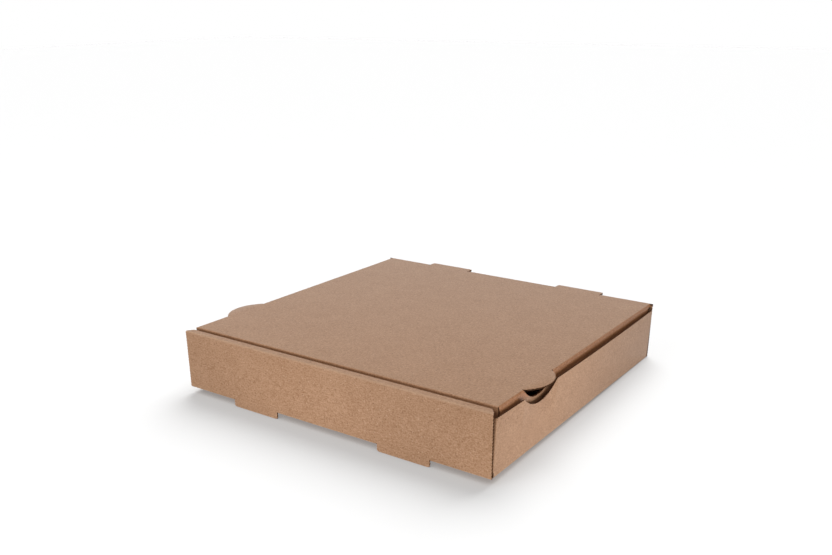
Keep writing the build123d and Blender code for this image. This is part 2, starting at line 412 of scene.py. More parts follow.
class BoardPanel:
    """One panel of board, described by lines across its flutes.

    span and marks are places across the flutes, columns gives the places along the flutes where the
    outline or the form changes, solid tells which cells between the columns hold board, and place
    puts them into the frame at a depth below the outside. Raw columns are cut ends, and pressed
    ones lie on a rim that the cutting blade squeezed.
    """

    def __init__(self, span, marks, columns, solid, place, raw=(), pressed=()):
        self.span = span
        self.marks = marks
        self.columns = columns
        self.solid = solid
        self.place = place
        self.raw = list(raw)
        self.pressed = list(pressed)

    def rows(self, step):
        """Places across the flutes, a step apart, with the marks among them."""
        start, end = self.span
        fixed = np.unique(np.round([start, end, *(m for m in self.marks if start < m < end)], 8))
        even = np.arange(math.ceil(start / step), math.floor(end / step) + 1) * step
        apart = np.abs(even[:, None] - fixed[None, :]).min(1)
        return np.sort(np.concatenate((fixed, even[apart > step * 0.25])))

    def layers(self, board):
        """The outer liner, the fluting and the inner liner, each as corner points and solid cells."""
        middle = board.thickness / 2
        swing = (board.thickness - 2 * board.liner - board.fluting) / 2
        for layer, per_flute in (("outer", 4), ("fluting", 8), ("inner", 4)):
            v = self.rows(board.pitch / per_flute)
            turn = 2 * math.pi * v / board.pitch
            crest = (1 + np.cos(turn)) / 2
            if layer == "outer":
                high = board.sag * (1 - crest)
                low = high + board.liner
                draw_back = board.cut_wave * (1 - crest)
            elif layer == "inner":
                low = board.thickness - board.sag * crest
                high = low - board.liner
                draw_back = board.cut_wave * crest
            else:
                slope = swing * 2 * math.pi / board.pitch * np.sin(turn)
                half_sheet = board.fluting / 2 * np.sqrt(1 + slope**2)
                high = np.maximum(middle - swing * np.cos(turn) - half_sheet, board.liner)
                low = np.minimum(middle - swing * np.cos(turn) + half_sheet, board.thickness - board.liner)
                draw_back = np.full(len(v), board.cut_back)
            solid = self.solid((v[1:] + v[:-1]) / 2)
            u = self.drawn_back(self.columns(v), solid, draw_back)
            squeeze = np.ones(u.shape[1])
            squeeze[self.pressed] = board.pressed
            skins = [
                self.place(u, v, middle + (depth[:, None] - middle) * squeeze)
                for depth in (high, low)
            ]
            yield layer, skins[0], skins[1], solid

    def drawn_back(self, u, solid, draw_back):
        """Columns with the raw cut ends drawn back from their outline."""
        cells = np.pad(solid, 1)
        before = cells[:-1, :-1] | cells[1:, :-1]
        after = cells[:-1, 1:] | cells[1:, 1:]
        way = after.astype(float) - before.astype(float)
        raw = np.zeros(u.shape[1])
        raw[self.raw] = 1.0
        return u + way * draw_back[:, None] * raw


def closed_skin(top, bottom, solid):
    """Points and faces of a closed skin round two grids of points, over the solid cells.

    The faces come as three lists: those on top, those below and those round the rims.
    """
    rows, columns = top.shape[:2]
    index = np.arange(rows * columns).reshape(rows, columns)
    below = rows * columns
    corners = (index[:-1, :-1], index[:-1, 1:], index[1:, 1:], index[1:, :-1])
    a, b, c, d = (corner[solid] for corner in corners)
    cells = np.pad(solid, 1)
    empty = (cells[:-2, 1:-1], cells[1:-1, 2:], cells[2:, 1:-1], cells[1:-1, :-2])
    rims = []
    for side in range(4):
        open_side = solid & ~empty[side]
        start = corners[side][open_side]
        end = corners[(side + 1) % 4][open_side]
        rims.append(np.stack((end, start, start + below, end + below), -1))
    points = np.concatenate((top.reshape(-1, 3), bottom.reshape(-1, 3)))
    upper = np.stack((a, b, c, d), -1)
    lower = np.stack((d, c, b, a), -1) + below
    return points, upper, lower, np.concatenate(rims)


LINER, CORE = 0, 1


class MeshParts:
    """Points and faces of several skins, gathered for one object."""

    def __init__(self):
        self.points = []
        self.faces = []
        self.finish = []
        self.count = 0

    def add(self, skin, upper_finish, lower_finish):
        points, upper, lower, rims = skin
        for faces, finish in ((upper, upper_finish), (lower, lower_finish), (rims, CORE)):
            self.faces.append(faces + self.count)
            self.finish.append(np.full(len(faces), finish))
        self.points.append(points)
        self.count += len(points)

    def add_panel(self, panel, board):
        for layer, top, bottom, solid in panel.layers(board):
            upper_finish = LINER if layer == "outer" else CORE
            lower_finish = LINER if layer == "inner" else CORE
            self.add(closed_skin(top, bottom, solid), upper_finish, lower_finish)

    def make(self, name):
        """A smooth-shaded object with the liner and core finishes."""
        mesh = bpy.data.meshes.new(name)
        mesh.from_pydata(np.concatenate(self.points), [], np.concatenate(self.faces).tolist())
        mesh.polygons.foreach_set("material_index", np.concatenate(self.finish).astype(np.int32))
        tidy = bmesh.new()
        tidy.from_mesh(mesh)
        bmesh.ops.delete(tidy, geom=[v for v in tidy.verts if not v.link_faces], context="VERTS")
        bmesh.ops.remove_doubles(tidy, verts=tidy.verts, dist=TINY)
        bmesh.ops.recalc_face_normals(tidy, faces=tidy.faces)
        tidy.to_mesh(mesh)
        tidy.free()
        mesh.polygons.foreach_set("use_smooth", np.ones(len(mesh.polygons), bool))
        mesh.set_sharp_from_angle(angle=SHARP_ANGLE)
        mesh.materials.append(finish_named("kraft_liner"))
        mesh.materials.append(finish_named("kraft_core"))
        return put(bpy.context.scene, name, mesh)


def put(scene, name, data):
    """A new object in the scene, made of a mesh, a lamp or a camera."""
    thing = bpy.data.objects.new(name, data)
    scene.collection.objects.link(thing)
    return thing


def build(name, body, board, panel):
    """A piece of board that rides on a body, stands for its CAD node and takes the board's finish."""
    parts = MeshParts()
    parts.add_panel(panel, board)
    piece = parts.make(name)
    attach(piece, body)
    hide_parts(body)


def build_pair(name, body, at, panel_of):
    """Two like pieces on the right and the left of the box, whose panels come from a function."""
    for side, way in (("right", 1.0), ("left", -1.0)):
        build(f"{name}_{side}", body, at.board, panel_of(at, way))


def along_x(line, board):
    """Placing for a strip whose flutes lie along X and whose folds follow a line in the YZ plane."""

    def place(u, v, depth):
        points, outward = line.at(v)
        depth = depth * line.crush(v, board)[:, None]
        y = points[:, 0, None] - outward[:, 0, None] * depth
        z = points[:, 1, None] - outward[:, 1, None] * depth
        return np.stack((u, y, z), -1)

    return place


def regions(borders, patterns):
    """Which cells hold board, from one pattern for each region between borders across the flutes.

    A pattern is one half of a row, from its end to the middle, with # for board.
    """
    halves = [[mark == "#" for mark in pattern] for pattern in patterns]
    table = np.array([half + half[-2::-1] for half in halves])

    def solid(v):
        return table[np.searchsorted(borders, v)]

    return solid


def both_halves(*half):
    """Columns of a symmetrical row from those of its right half, given from the end to the middle."""
    right = np.stack(np.broadcast_arrays(*half), -1)
    return np.concatenate((-right, right[:, ::-1]), 1)


def round_corner(height, radius):
    """How far a rounded corner lies in from its side at a height above its lower edge."""
    short = np.clip(radius - height, 0, radius)
    return radius - np.sqrt(radius**2 - short**2)


class PIZZABOX_OT_tray_strip(bpy.types.Operator):
    """Fold the long strip of the tray: inner panel, roll-over, front wall, floor and back wall"""

    bl_idname = "pizza_box.tray_strip"
    bl_label = "Tray Strip"

    def execute(self, context):
        at = box_places(context.scene)
        board, tray, cuts = at.board, at.tray, at.cuts
        inner_way = at.roll_inner - at.inner_foot
        inner_way /= np.linalg.norm(inner_way)
        lock_drop = board.thickness + tray.play
        back_end = at.back_top - at.back_way * at.lid.fold_reach
        line = FoldLine(
            (
                at.inner_foot - inner_way * lock_drop,
                at.roll_inner,
                at.front_top,
                at.front_fold,
                at.back_fold,
                back_end,
            ),
            at.bend,
        )
        roll_start, roll_end = line.folds[0][1], line.folds[1][0]
        wall_low, floor_start = line.folds[2]
        floor_end = line.folds[3][0]
        slot_end = floor_start + at.slot_rear - line.at(np.array([floor_start]))[0][0][0]
        vent_z = at.hinge[2] - at.tab_length - tray.kerf
        vent_start = line.length - (back_end[1] - vent_z) / at.back_way[1]
        borders = (lock_drop, roll_start, wall_low, floor_start, slot_end, floor_end, vent_start)
        solid = regions(
            borders,
            ("....#..", "..#####", "#######", "###...#", ".##...#", ".######", "#######", "###...#"),
        )
        floor_x = at.half_width - at.bend
        inner_x = at.half_width - board.thickness - tray.inner_inset
        narrowest = 0.02

        def columns(v):
            # The roll-over's ends slant from the inner panel's width to the front wall's.
            slant = np.clip((v - roll_start) / (roll_end - roll_start), narrowest, 1)
            end_x = inner_x + (wall_end(at, line.at(v)[0][:, 1]) - inner_x) * slant
            fold_x = np.where(v < roll_end, (inner_x + end_x) / 2, floor_x)
            rear = v > slot_end
            in_vent = round_corner((v - vent_start) * at.back_way[1], cuts.corner) - tray.kerf
            cut_shift = np.where(rear, in_vent, 0.0)
            cut_outer = at.cut_outer - cut_shift
            cut_inner = at.cut_inner + cut_shift
            return both_halves(
                end_x,
                fold_x,
                inner_x,
                cut_outer,
                cut_outer - tray.lock_inset,
                cut_inner + tray.lock_inset,
                cut_inner,
            )

        marks = [*borders, *line.fold_marks(board.fold_steps)]
        marks += list(vent_start + cuts.corner * CORNER_STEPS)
        # Columns 1 and 12 follow the side folds, where nothing is cut.
        raw = (0, 2, 3, 4, 5, 6, 7, 8, 9, 10, 11, 13)
        panel = BoardPanel((0, line.length), marks, columns, solid, along_x(line, board), raw)
        build("tray_strip", "tray", board, panel)

        foot_line = FoldLine((line.at(np.array([wall_low]))[0][0], self.foot_end(at)), at.bend)
        build("front_feet", "tray", board, self.foot_panel(at, foot_line))
        return {"FINISHED"}

    @staticmethod
    def foot_end(at):
        """Lower edge of the feet, in the plane of the front wall."""
        return at.front_fold + at.floor_z * np.array((math.tan(at.tray.front_lean), -1.0))

    @staticmethod
    def foot_panel(at, line):
        """Both feet: the front wall's board carried on below its fold."""
        corner = at.cuts.corner

        def columns(v):
            shift = round_corner(line.length - v, corner)
            outer, inner = at.cut_outer - shift, at.cut_inner + shift
            return both_halves(outer, outer - at.board.press_width, inner + at.board.press_width, inner)

        marks = list(line.length - corner * CORNER_STEPS)
        solid = regions((), ("###.",))
        ends = (0, 3, 4, 7)
        return BoardPanel((0, line.length), marks, columns, solid, along_x(line, at.board), ends, ends)


class PIZZABOX_OT_side_walls(bpy.types.Operator):
    """Fold the two side walls with their thumb notches and corner flaps"""

    bl_idname = "pizza_box.side_walls"
    bl_label = "Side Walls"

    def execute(self, context):
        build_pair("side_wall", "tray", box_places(context.scene), self.wall_panel)
        return {"FINISHED"}

    @staticmethod
    def wall_panel(at, way):
        """One side wall, way being the side of the box that it stands on."""
        board, tray = at.board, at.tray
        lean = math.tan(tray.side_lean)
        wall_x = at.half_width + tray.flap_lift * lean
        flap_x = at.cut_outer + tray.flap_margin
        front, rear = at.side_front, at.side_rear
        level = FoldLine(((flap_x, front), (wall_x, front), (wall_x, rear), (flap_x, rear)), at.bend)
        top_x = at.half_width + tray.side_height * lean
        upright = FoldLine(
            (
                (at.half_width - at.bend, at.floor_z),
                (at.half_width, at.floor_z),
                (top_x, at.side_top),
            ),
            at.bend,
        )
        fold_end = upright.folds[0][1]
        flap_low = upright.length - (at.side_top - at.flap_z) / math.cos(tray.side_lean)
        fold_places = np.array(upright.fold_marks(board.fold_steps))
        fold_range = (at.side_front + tray.fold_inset, at.side_rear - tray.fold_inset)
        depth_share = 1 / math.cos(tray.side_lean)

        def end_lean(y):
            """Lean of the wall's upright lines towards its nearer end."""
            along = (y - at.side_front) / (at.side_rear - at.side_front)
            return -math.tan(tray.corner_lean) * (1 - along) + math.tan(tray.back_lean) * along

        def top(v):
            """Place of the top edge, lowered in the thumb notch."""
            y_low = level.at(v)[0][:, 1]
            centre_z = at.side_top + tray.notch_radius - tray.notch_depth
            z = np.full(len(v), at.side_top)
            for _ in range(3):
                y = y_low + end_lean(y_low) * (z - at.flap_z)
                drop = np.sqrt(np.maximum(tray.notch_radius**2 - (y - at.notch_y) ** 2, 0))
                z = np.minimum(at.side_top, centre_z - drop)
            return upright.length - (at.side_top - z) / math.cos(tray.side_lean)

        def columns(v):
            edge = top(v)[:, None]
            low = np.broadcast_to(np.append(fold_places, flap_low), (len(v), len(fold_places) + 1))
            return np.concatenate((low, edge - board.press_width, edge), 1)

        def solid(v):
            y = level.at(v)[0][:, 1]
            straight = (v > level.folds[0][1]) & (v < level.folds[1][0])
            folded = straight & (y > fold_range[0]) & (y < fold_range[1])
            cells = np.ones((len(v), len(fold_places) + 2), bool)
            cells[:, : len(fold_places)] = folded[:, None]
            return cells

        def place(u, v, depth):
            across, out = level.at(v)
            across, out = across[:, None, :], out[:, None, :]
            up, up_out = upright.at(u)
            depth = depth * level.crush(v, board)[:, None] * upright.crush(u, board)
            rise = up[..., 1] - at.flap_z
            folded = u <= fold_end
            x_in = np.where(folded, up_out[..., 0], out[..., 0] * depth_share) * depth
            y_in = np.where(folded, 0.0, out[..., 1]) * depth
            z_in = np.where(folded, up_out[..., 1], 0.0) * depth
            x = across[..., 0] - wall_x + up[..., 0] + side_bow(at, across[..., 1], up[..., 1]) - x_in
            y = across[..., 1] + end_lean(across[..., 1]) * rise - y_in
            return np.stack((way * x, y, up[..., 1] - z_in), -1)

        notch_half = math.sqrt(tray.notch_radius**2 - (tray.notch_radius - tray.notch_depth) ** 2)
        first_y = level.at(np.array([level.folds[0][1]]))[0][0][1]
        spots = [at.notch_y - notch_half, at.notch_y + notch_half, *fold_range]
        marks = level.fold_marks(board.fold_steps) + [level.folds[0][1] + y - first_y for y in spots]
        last = len(fold_places) + 2
        raw = (len(fold_places), last)
        return BoardPanel((0, level.length), marks, columns, solid, place, raw, (last,))


class PIZZABOX_OT_lid_top(bpy.types.Operator):
    """Fold the lid's top panel with its front flap and rear tabs"""

    bl_idname = "pizza_box.lid_top"
    bl_label = "Lid Top"

    def execute(self, context):
        at = box_places(context.scene)
        board, lid, cuts = at.board, at.lid, at.cuts
        flap_way = np.array((math.sin(lid.front_flap_lean), -math.cos(lid.front_flap_lean)))
        front = np.array((at.lid_front, at.lid_top))
        line = FoldLine(((at.tab_end, at.lid_top), front, front + flap_way * lid.front_flap), at.bend)
        top_start = at.tab_length + lid.fold_reach
        strip_start = at.tab_end - at.slit_front
        solid = regions((top_start, strip_start), ("..#.", ".###", "####"))
        flap_x = at.lid_half - lid.corner_slit

        def columns(v):
            tab = round_corner(v, cuts.corner)
            flap = round_corner(line.length - v, lid.flap_corner)
            return both_halves(flap_x - flap, at.lid_edge - flap, at.cut_outer - tab, at.cut_inner + tab)

        marks = [top_start, strip_start, *line.fold_marks(board.fold_steps)]
        marks += [*(cuts.corner * CORNER_STEPS), *(line.length - lid.flap_corner * CORNER_STEPS)]
        raw = (2, 3, 4, 5)
        panel = BoardPanel((0, line.length), marks, columns, solid, along_x(line, board), raw)
        build("lid_top", "lid", board, panel)
        return {"FINISHED"}


class PIZZABOX_OT_lid_side_flaps(bpy.types.Operator):
    """Fold the lid's side flaps with the openings that the thumb tabs were cut from"""

    bl_idname = "pizza_box.lid_side_flaps"
    bl_label = "Lid Side Flaps"

    def execute(self, context):
        build_pair("lid_side_flap", "lid", box_places(context.scene), self.flap_panel)
        return {"FINISHED"}

    @staticmethod
    def flap_panel(at, way):
        """One side flap, way being the side of the box that it hangs on."""
        board, lid = at.board, at.lid
        hang = math.pi / 2 + lid.side_flap_lean
        point = np.array((at.lid_edge + at.bend * math.tan(lid.side_crease / 2), at.lid_top))
        corners = [(at.lid_edge, at.lid_top), point]
        runs = (
            (lid.side_crease, lid.side_fold_run),
            ((lid.side_crease + hang) / 2, lid.side_fold_run),
            (hang, lid.side_flap),
        )
        for slope_down, run in runs:
            point = point + run * np.array((math.cos(slope_down), -math.sin(slope_down)))
            corners.append(point)
        line = FoldLine(corners[::-1], at.bend)
        fold_places = line.length - np.array(line.fold_marks(board.fold_steps // 2))[::-1]
        fold_end = fold_places[-1]
        wall_gap = at.lid_top - at.side_top
        low_places = fold_end + wall_gap * FLAP_STEPS
        band_end = fold_end + board.thickness / 3
        flap_rear = at.hinge[1] - lid.side_flap_rear
        slope = math.tan(lid.flap_taper)
        cut_radius = lid.thumb_radius + lid.opening_play
        cut_z = at.lid_top + lid.thumb_radius - at.thumb_reach

        def free_edge(y):
            """Length of the flap, from the top panel to its free edge."""
            reach = line.length - fold_end
            inside = np.minimum(y - at.side_flap_front - lid.flap_relief, flap_rear - y)
            corner_in = reach * slope + lid.flap_corner * (1 / math.cos(lid.flap_taper) - slope)
            arc_y = np.clip(corner_in - inside, 0, lid.flap_corner)
            arc = reach - lid.flap_corner + np.sqrt(lid.flap_corner**2 - arc_y**2)
            slanted = inside / slope
            return fold_end + np.clip(np.minimum(slanted, arc), 0, reach)

        def opening(y):
            """Length from the top panel at which the board begins again below a thumb tab."""
            drop = cut_radius**2 - (y - at.thumb_y) ** 2
            low_z = cut_z - np.sqrt(np.maximum(drop, 0))
            depth = np.where(drop > 0, np.maximum(at.lid_top - low_z, 0), 0)
            samples = np.linspace(0, line.length, 400)
            heights = at.lid_top - line.at(line.length - samples)[0][:, 1]
            return np.where(depth > 0, np.interp(depth, heights, samples), 0)

        def columns(v):
            y = at.tab_end - v
            free = np.where(y > flap_rear, band_end, np.maximum(free_edge(y), band_end))
            cut = opening(y)
            rim = np.maximum(free - board.press_width, np.maximum(fold_end, cut))
            places = [np.minimum(np.maximum(place, cut), rim) for place in (*fold_places, *low_places)]
            return np.stack((*places, rim, free), -1)

        def solid(v):
            u = columns(v)
            return np.diff(u, axis=1) > TINY

        def place(u, v, depth):
            points, outward = line.at(line.length - u)
            depth = depth * line.crush(line.length - u, board)
            y = np.broadcast_to((at.tab_end - v)[:, None], u.shape)
            drop = np.clip((at.lid_top - points[..., 1]) / wall_gap, 0, 1)
            pushed = lid.flap_push * side_bow(at, y, points[..., 1]) * eased(drop)
            x = points[..., 0] + pushed - outward[..., 0] * depth
            z = points[..., 1] - outward[..., 1] * depth
            return np.stack((way * x, y, z), -1)

        cut_half = math.sqrt(cut_radius**2 - (at.lid_top - cut_z) ** 2)
        spots = [at.thumb_y - cut_half, at.thumb_y + cut_half, flap_rear]
        for inset in OPENING_STEPS:
            spots += [at.thumb_y - cut_half + inset, at.thumb_y + cut_half - inset]
        marks = [at.tab_end - y for y in spots]
        last = len(fold_places) + len(low_places) + 1
        span = (at.tab_end - at.lid_rear, at.tab_end - at.side_flap_front)
        return BoardPanel(span, marks, columns, solid, place, range(1, last + 1), (last,))


class PIZZABOX_OT_thumb_tabs(bpy.types.Operator):
    """Cut the half-moon thumb tabs that stay in the plane of the lid"""

    bl_idname = "pizza_box.thumb_tabs"
    bl_label = "Thumb Tabs"

    def execute(self, context):
        build_pair("thumb_tab", "lid", box_places(context.scene), self.tab_panel)
        return {"FINISHED"}

    @staticmethod
    def tab_panel(at, way):
        """One thumb tab, way being the side of the box that it stands out on."""
        board, lid = at.board, at.lid
        centre_x = at.lid_half + at.thumb_reach - lid.thumb_radius
        half = math.sqrt(lid.thumb_radius**2 - (at.lid_half - centre_x) ** 2)

        def columns(v):
            across = np.minimum(np.abs(at.tab_end - v - at.thumb_y), half)
            rim = centre_x + np.sqrt(lid.thumb_radius**2 - across**2)
            return np.stack((np.full(len(v), at.lid_edge), rim - board.press_width, rim), -1)

        def solid(v):
            return np.ones((len(v), 2), bool)

        def place(u, v, depth):
            y = np.broadcast_to((at.tab_end - v)[:, None], u.shape)
            return np.stack((way * u, y, at.lid_top - np.broadcast_to(depth, u.shape)), -1)

        middle = at.tab_end - at.thumb_y
        return BoardPanel((middle - half, middle + half), (), columns, solid, place, (2,), (2,))


class PIZZABOX_OT_lid_fold(bpy.types.Operator):
    """Bend the board from the back wall into the lid, so that the fold follows the lid"""

    bl_idname = "pizza_box.lid_fold"
    bl_label = "Lid Fold"

    def execute(self, context):
        at = box_places(context.scene)
        board, lid = at.board, at.lid
        half_board = board.thickness / 2
        hinge = at.hinge[1:]
        wall_out = np.array((at.back_way[1], -at.back_way[0]))
        lid_way = np.array((-1.0, 0.0))
        lid_out = np.array((0.0, 1.0))
        bisector = (wall_out + lid_out) / (1 + wall_out @ lid_out)
        parts = MeshParts()
        outer_sheet = half_board * 0.95
        inner_radius = board.liner * 1.2
        for outside, radius in ((half_board, half_board), (board.liner - half_board, inner_radius)):
            corner = hinge + bisector * outside
            low = hinge - at.back_way * lid.fold_reach + wall_out * outside
            high = hinge + lid_way * lid.fold_reach + lid_out * outside
            line = FoldLine((low, corner, high), radius)
            outer = outside > 0
            skin = self.fold_skin(at, line, outer_sheet if outer else board.liner)
            parts.add(skin, LINER if outer else CORE, CORE if outer else LINER)
        piece = parts.make("lid_fold")
        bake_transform(piece)
        return {"FINISHED"}

    @staticmethod
    def fold_skin(at, line, thickness):
        """One sheet of the fold, left open where the rear tabs were cut out."""
        kerf = at.tray.kerf
        fold_end = line.folds[0][1]
        just_past = fold_end + 100 * TINY
        rows = np.sort([0, line.length, just_past, *line.fold_marks(at.board.fold_steps)])
        solid = regions((fold_end,), ("##.#", ".#.#"))((rows[1:] + rows[:-1]) / 2)
        end_x = wall_end(at, at.hinge[2])
        u = both_halves(np.full(len(rows), end_x), at.lid_edge, at.cut_outer + kerf, at.cut_inner - kerf)
        place = along_x(line, at.board)
        top = place(u, rows, np.zeros(u.shape))
        bottom = place(u, rows, np.full(u.shape, thickness))
        return closed_skin(top, bottom, solid)


class NodeMaker:
    """Adds nodes to a tree and joins them."""

    def __init__(self, tree):
        self.tree = tree

    def add(self, kind, inputs=None, **settings):
        node = self.tree.nodes.new(kind)
        for name, value in settings.items():
            setattr(node, name, value)
        for socket, value in (inputs or {}).items():
            if isinstance(value, bpy.types.NodeSocket):
                self.tree.links.new(value, node.inputs[socket])
            else:
                node.inputs[socket].default_value = value
        return node

    def noise(self, place, scale, detail=3.0, roughness=0.6, distortion=0.0):
        """Noise from 0 to 1 at a scale in waves per metre."""
        inputs = {
            "Vector": place,
            "Scale": scale,
            "Detail": detail,
            "Roughness": roughness,
            "Distortion": distortion,
        }
        return self.add("ShaderNodeTexNoise", inputs).outputs["Fac"]

    def span(self, value, low, high, out_low=0.0, out_high=1.0):
        """A value carried from one range to another and held inside it."""
        inputs = {0: value, 1: low, 2: high, 3: out_low, 4: out_high}
        return self.add("ShaderNodeMapRange", inputs).outputs[0]

    def spot(self, place, centre, radius, strength, start=0.0):
        """A soft round spot of that strength, which begins to fade at a share of its radius."""
        inputs = {0: place, 1: centre}
        away = self.add("ShaderNodeVectorMath", inputs, operation="DISTANCE").outputs["Value"]
        inputs = {0: away, 1: radius * start, 2: radius, 3: strength, 4: 0.0}
        return self.add("ShaderNodeMapRange", inputs, interpolation_type="SMOOTHSTEP").outputs[0]

    def sum(self, first, second):
        return self.add("ShaderNodeMath", {0: first, 1: second}, operation="ADD").outputs[0]

    def product(self, first, second):
        return self.add("ShaderNodeMath", {0: first, 1: second}, operation="MULTIPLY").outputs[0]

    def blend(self, factor, first, second):
        """A colour between two others."""
        node = self.add("ShaderNodeMix", {"Factor": factor}, data_type="RGBA")
        for socket, value in ((node.inputs[6], first), (node.inputs[7], second)):
            if isinstance(value, bpy.types.NodeSocket):
                self.tree.links.new(value, socket)
            else:
                socket.default_value = (*value, 1.0)
        return node.outputs[2]

    def tinted(self, first, second):
        """A colour multiplied by another."""
        node = self.add("ShaderNodeMix", {"Factor": 1.0}, data_type="RGBA", blend_type="MULTIPLY")
        self.tree.links.new(first, node.inputs[6])
        self.tree.links.new(second, node.inputs[7])
        return node.outputs[2]

    def flecks(self, place, scale, chance, size):
        """Scattered flecks: a share of the cells of a given scale, each with a small soft spot."""
        cells = self.add(
            "ShaderNodeTexVoronoi", {"Vector": place, "Scale": scale, "Randomness": 1.0}
        )
        parted = self.add("ShaderNodeSeparateColor", {"Color": cells.outputs["Color"]})
        chosen = self.span(parted.outputs[0], 1 - chance, 1 - chance + 0.01)
        spot = self.span(cells.outputs["Distance"], size, size * 0.5)
        return self.product(chosen, spot)


def finish_named(name):
    """The material of that name, made on first use."""
    found = bpy.data.materials.get(name)
    if found:
        return found
    material = bpy.data.materials.new(name)
    material.use_nodes = True
    kraft = bpy.context.scene.pizza_kraft
    {"kraft_liner": kraft_liner, "kraft_core": kraft_core}[name](material.node_tree, kraft)
    return material


def kraft_liner(tree, kraft):
    """Kraft paper: soft clouds, a fine felt of fibres, bark flecks and a few bleached fibres."""
    make = NodeMaker(tree)
    shader = tree.nodes["Principled BSDF"]
    coordinates = make.add("ShaderNodeTexCoord")
    place = coordinates.outputs["Object"]
    clouds = make.noise(place, CLOUDS, 3.0)
    felt = make.noise(place, FELT, 3.0, 0.65)
    ways = ((FIBRE_LENGTH, FIBRE_WIDTH, FIBRE_WIDTH), (FIBRE_WIDTH, FIBRE_LENGTH, FIBRE_WIDTH))
    drawn = [make.add("ShaderNodeMapping", {"Vector": place, "Scale": way}).outputs[0] for way in ways]
    fibres = make.sum(*(make.noise(each, 1, 2.0) for each in drawn))
    # The three patterns add up to a tone from 0 to 1.
    tone = make.sum(
        make.sum(make.span(clouds, 0.3, 0.7, 0.0, 0.12), make.span(felt, 0.33, 0.67, 0.0, 0.45)),
        make.span(fibres, 0.75, 1.25, 0.0, 0.43),
    )
    paper = make.blend(tone, kraft.liner_dark, kraft.liner)
    bark = make.flecks(place, BARK, 0.30, 0.26)
    pale = make.flecks(place, BLEACHED, 0.30, 0.24)
    specked = make.blend(make.product(bark, 0.5), paper, kraft.fleck_dark)
    flecked = make.blend(make.product(pale, 0.45), specked, kraft.pale_fleck_and_highlight)
    at = box_places(bpy.context.scene)
    section = make.add("ShaderNodeVectorMath", {0: place, 1: (0, 1, 1)}, operation="MULTIPLY").outputs[0]
    # Painted highlight: a paler line along the front wall's top fold, standing in for light on it.
    highlighted = make.spot(section, (0, *at.front_top), kraft.fold_highlight_reach, kraft.worn)
    folded = make.blend(highlighted, flecked, kraft.pale_fleck_and_highlight)
    # Painted shade: the lid's side folds and front fold are tinted darker and redder, standing in for the
    # shade beside the walls.
    creased = fold_shade_share(make, at, place, coordinates.outputs["Normal"])
    finished = make.tinted(folded, make.blend(creased, (1.0, 1.0, 1.0), kraft.creased))
    tree.links.new(finished, shader.inputs["Base Color"])
    shader.inputs["Roughness"].default_value = kraft.roughness
    shader.inputs["Specular IOR Level"].default_value = kraft.gloss
    bump = make.add("ShaderNodeBump", {"Strength": 0.25, "Distance": 0.00006, "Height": felt})
    tree.links.new(bump.outputs[0], shader.inputs["Normal"])


def fold_shade_share(make, at, place, normal):
    """1 on the outer faces of the lid's side folds, a half on its front fold and 0 elsewhere."""
    where = make.add("ShaderNodeSeparateXYZ", {0: place}).outputs
    facing = make.add("ShaderNodeSeparateXYZ", {0: normal}).outputs
    outward = make.span(make.product(where["X"], facing["X"]), 0.3 * at.lid_edge, 0.9 * at.lid_edge)
    across = make.add("ShaderNodeMath", {0: where["X"]}, operation="ABSOLUTE").outputs[0]
    inner, outer = at.lid_edge - at.bend, at.lid_half + at.bend
    beside = make.product(
        make.span(across, inner, at.lid_edge), make.span(across, outer + at.bend / 2, outer)
    )
    high = make.span(where["Z"], at.side_top - 4 * at.bend, at.side_top - at.bend)
    forward = make.span(facing["Y"], -0.3, -0.9, 0.0, 0.5)
    ahead = make.span(where["Y"], at.lid_front + 3 * at.bend, at.lid_front + 2 * at.bend)
    behind = make.span(where["Y"], at.lid_front - 2 * at.bend, at.lid_front - at.bend)
    front = make.product(forward, make.product(ahead, behind))
    return make.product(make.sum(make.product(outward, beside), front), high)


def kraft_core(tree, kraft):
    """Fluting paper and raw cut edges: darker and rougher than the liners."""
    make = NodeMaker(tree)
    shader = tree.nodes["Principled BSDF"]
    place = make.add("ShaderNodeTexCoord").outputs["Object"]
    felt = make.noise(place, CORE_FELT, 3.0)
    darker = [channel * 0.6 for channel in kraft.core]
    tree.links.new(make.blend(felt, darker, kraft.core), shader.inputs["Base Color"])
    shader.inputs["Roughness"].default_value = CORE_ROUGHNESS
    shader.inputs["Specular IOR Level"].default_value = kraft.gloss


